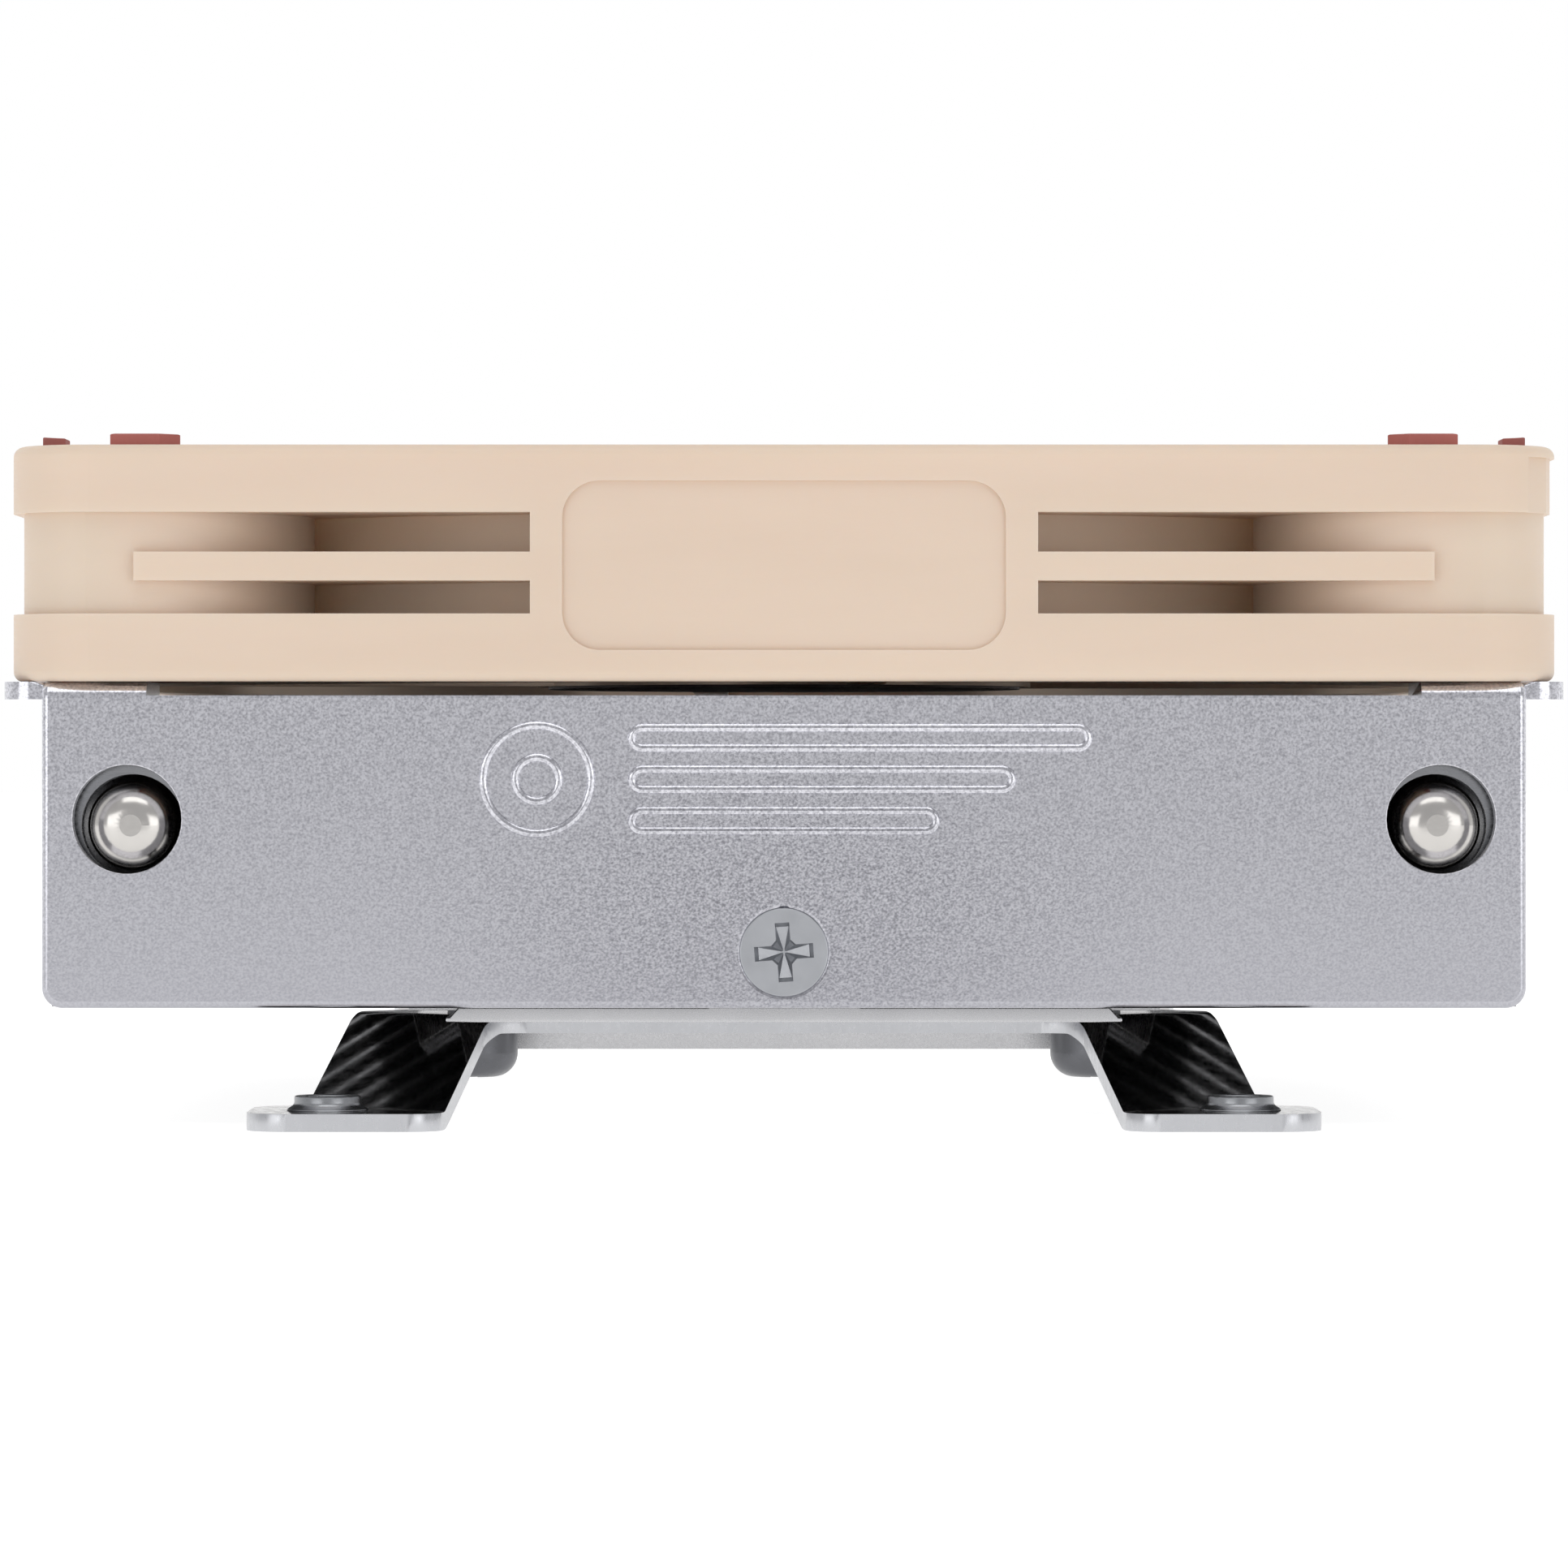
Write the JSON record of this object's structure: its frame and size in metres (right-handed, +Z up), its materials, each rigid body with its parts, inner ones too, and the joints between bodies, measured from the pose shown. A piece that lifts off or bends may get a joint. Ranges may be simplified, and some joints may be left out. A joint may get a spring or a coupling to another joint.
{
  "type": "low-profile cpu cooler",
  "caption": "Low-profile top-flow processor cooler: slim square fan over a finned heatsink with heatpipes, end plates and two bent mounting brackets.",
  "frame": {"origin": "under the middle of the cooler, at the height of the bracket feet's undersides, on the fan's axis", "axes": "+Z up along the fan axis towards the intake, +X along the end plates, +Y from the front end plate to the rear one"},
  "size_m": [0.0928, 0.1, 0.0411],
  "materials": {
    "beige_plastic": "moulded PBT, fine matt skin",
    "brown_plastic": "moulded PBT, satin",
    "brown_silicone": "soft silicone rubber",
    "nickel_plate": "bright nickel with fine orange peel",
    "nickel_bracket": "smooth bright nickel, satin cut edges",
    "nickel_pipe": "smooth nickel on copper",
    "nickel_fin": "thin nickel-plated sheet",
    "nickel_base": "ground and nickel-plated copper",
    "steel_screw": "satin zinc steel",
    "turned_steel": "ground steel",
    "brass": "turned brass",
    "sintered_bronze": "oil-filled sintered bronze",
    "lamination": "stacked laminated steel",
    "ferrite": "plastic-bonded ferrite",
    "winding_copper": "enamelled copper wire",
    "black_plastic": "moulded insulator",
    "board_green": "solder-masked glass-fibre board",
    "chip_black": "moulded component bodies",
    "label_face": "printed film label"
  },
  "bodies": {
    "cooler": {"fan_frame": "beige_plastic", "top_pad_1": "brown_silicone", "top_pad_2": "brown_silicone", "top_pad_3": "brown_silicone", "top_pad_4": "brown_silicone", "bottom_pad_1": "brown_silicone", "bottom_pad_2": "brown_silicone", "bottom_pad_3": "brown_silicone", "bottom_pad_4": "brown_silicone", "bearing_tube": "brass", "bearing_sleeve": "sintered_bronze", "thrust_pad": "black_plastic", "stator_core": "lamination", "stator_insulator": "black_plastic", "stator_windings": "winding_copper", "motor_board": "board_green", "board_components": "chip_black", "motor_label": "label_face", "fan_screws": "steel_screw", "front_end_plate": "nickel_plate", "rear_end_plate": "nickel_plate", "end_plate_screws": "steel_screw", "fins_front": "nickel_fin", "fins_middle": "nickel_fin", "fins_rear": "nickel_fin", "heatpipe_left": "nickel_pipe", "heatpipe_right": "nickel_pipe", "base_plate": "nickel_base", "base_sheet": "nickel_base", "front_bracket": "nickel_bracket", "rear_bracket": "nickel_bracket", "clinch_nuts": "turned_steel", "bracket_screws": "steel_screw"},
    "rotor": {"impeller": "brown_plastic", "rotor_yoke": "turned_steel", "magnet_ring": "ferrite", "shaft_bushing": "brass", "rotor_shaft": "turned_steel", "shaft_clip": "black_plastic", "hub_label": "label_face"}
  },
  "joints": [
    {"name": "rotor_spin", "type": "hinge", "parent": "cooler", "child": "rotor", "pos_m": [0, 0, 0.034], "axis": [0, 0, 1], "continuous": true}
  ]
}
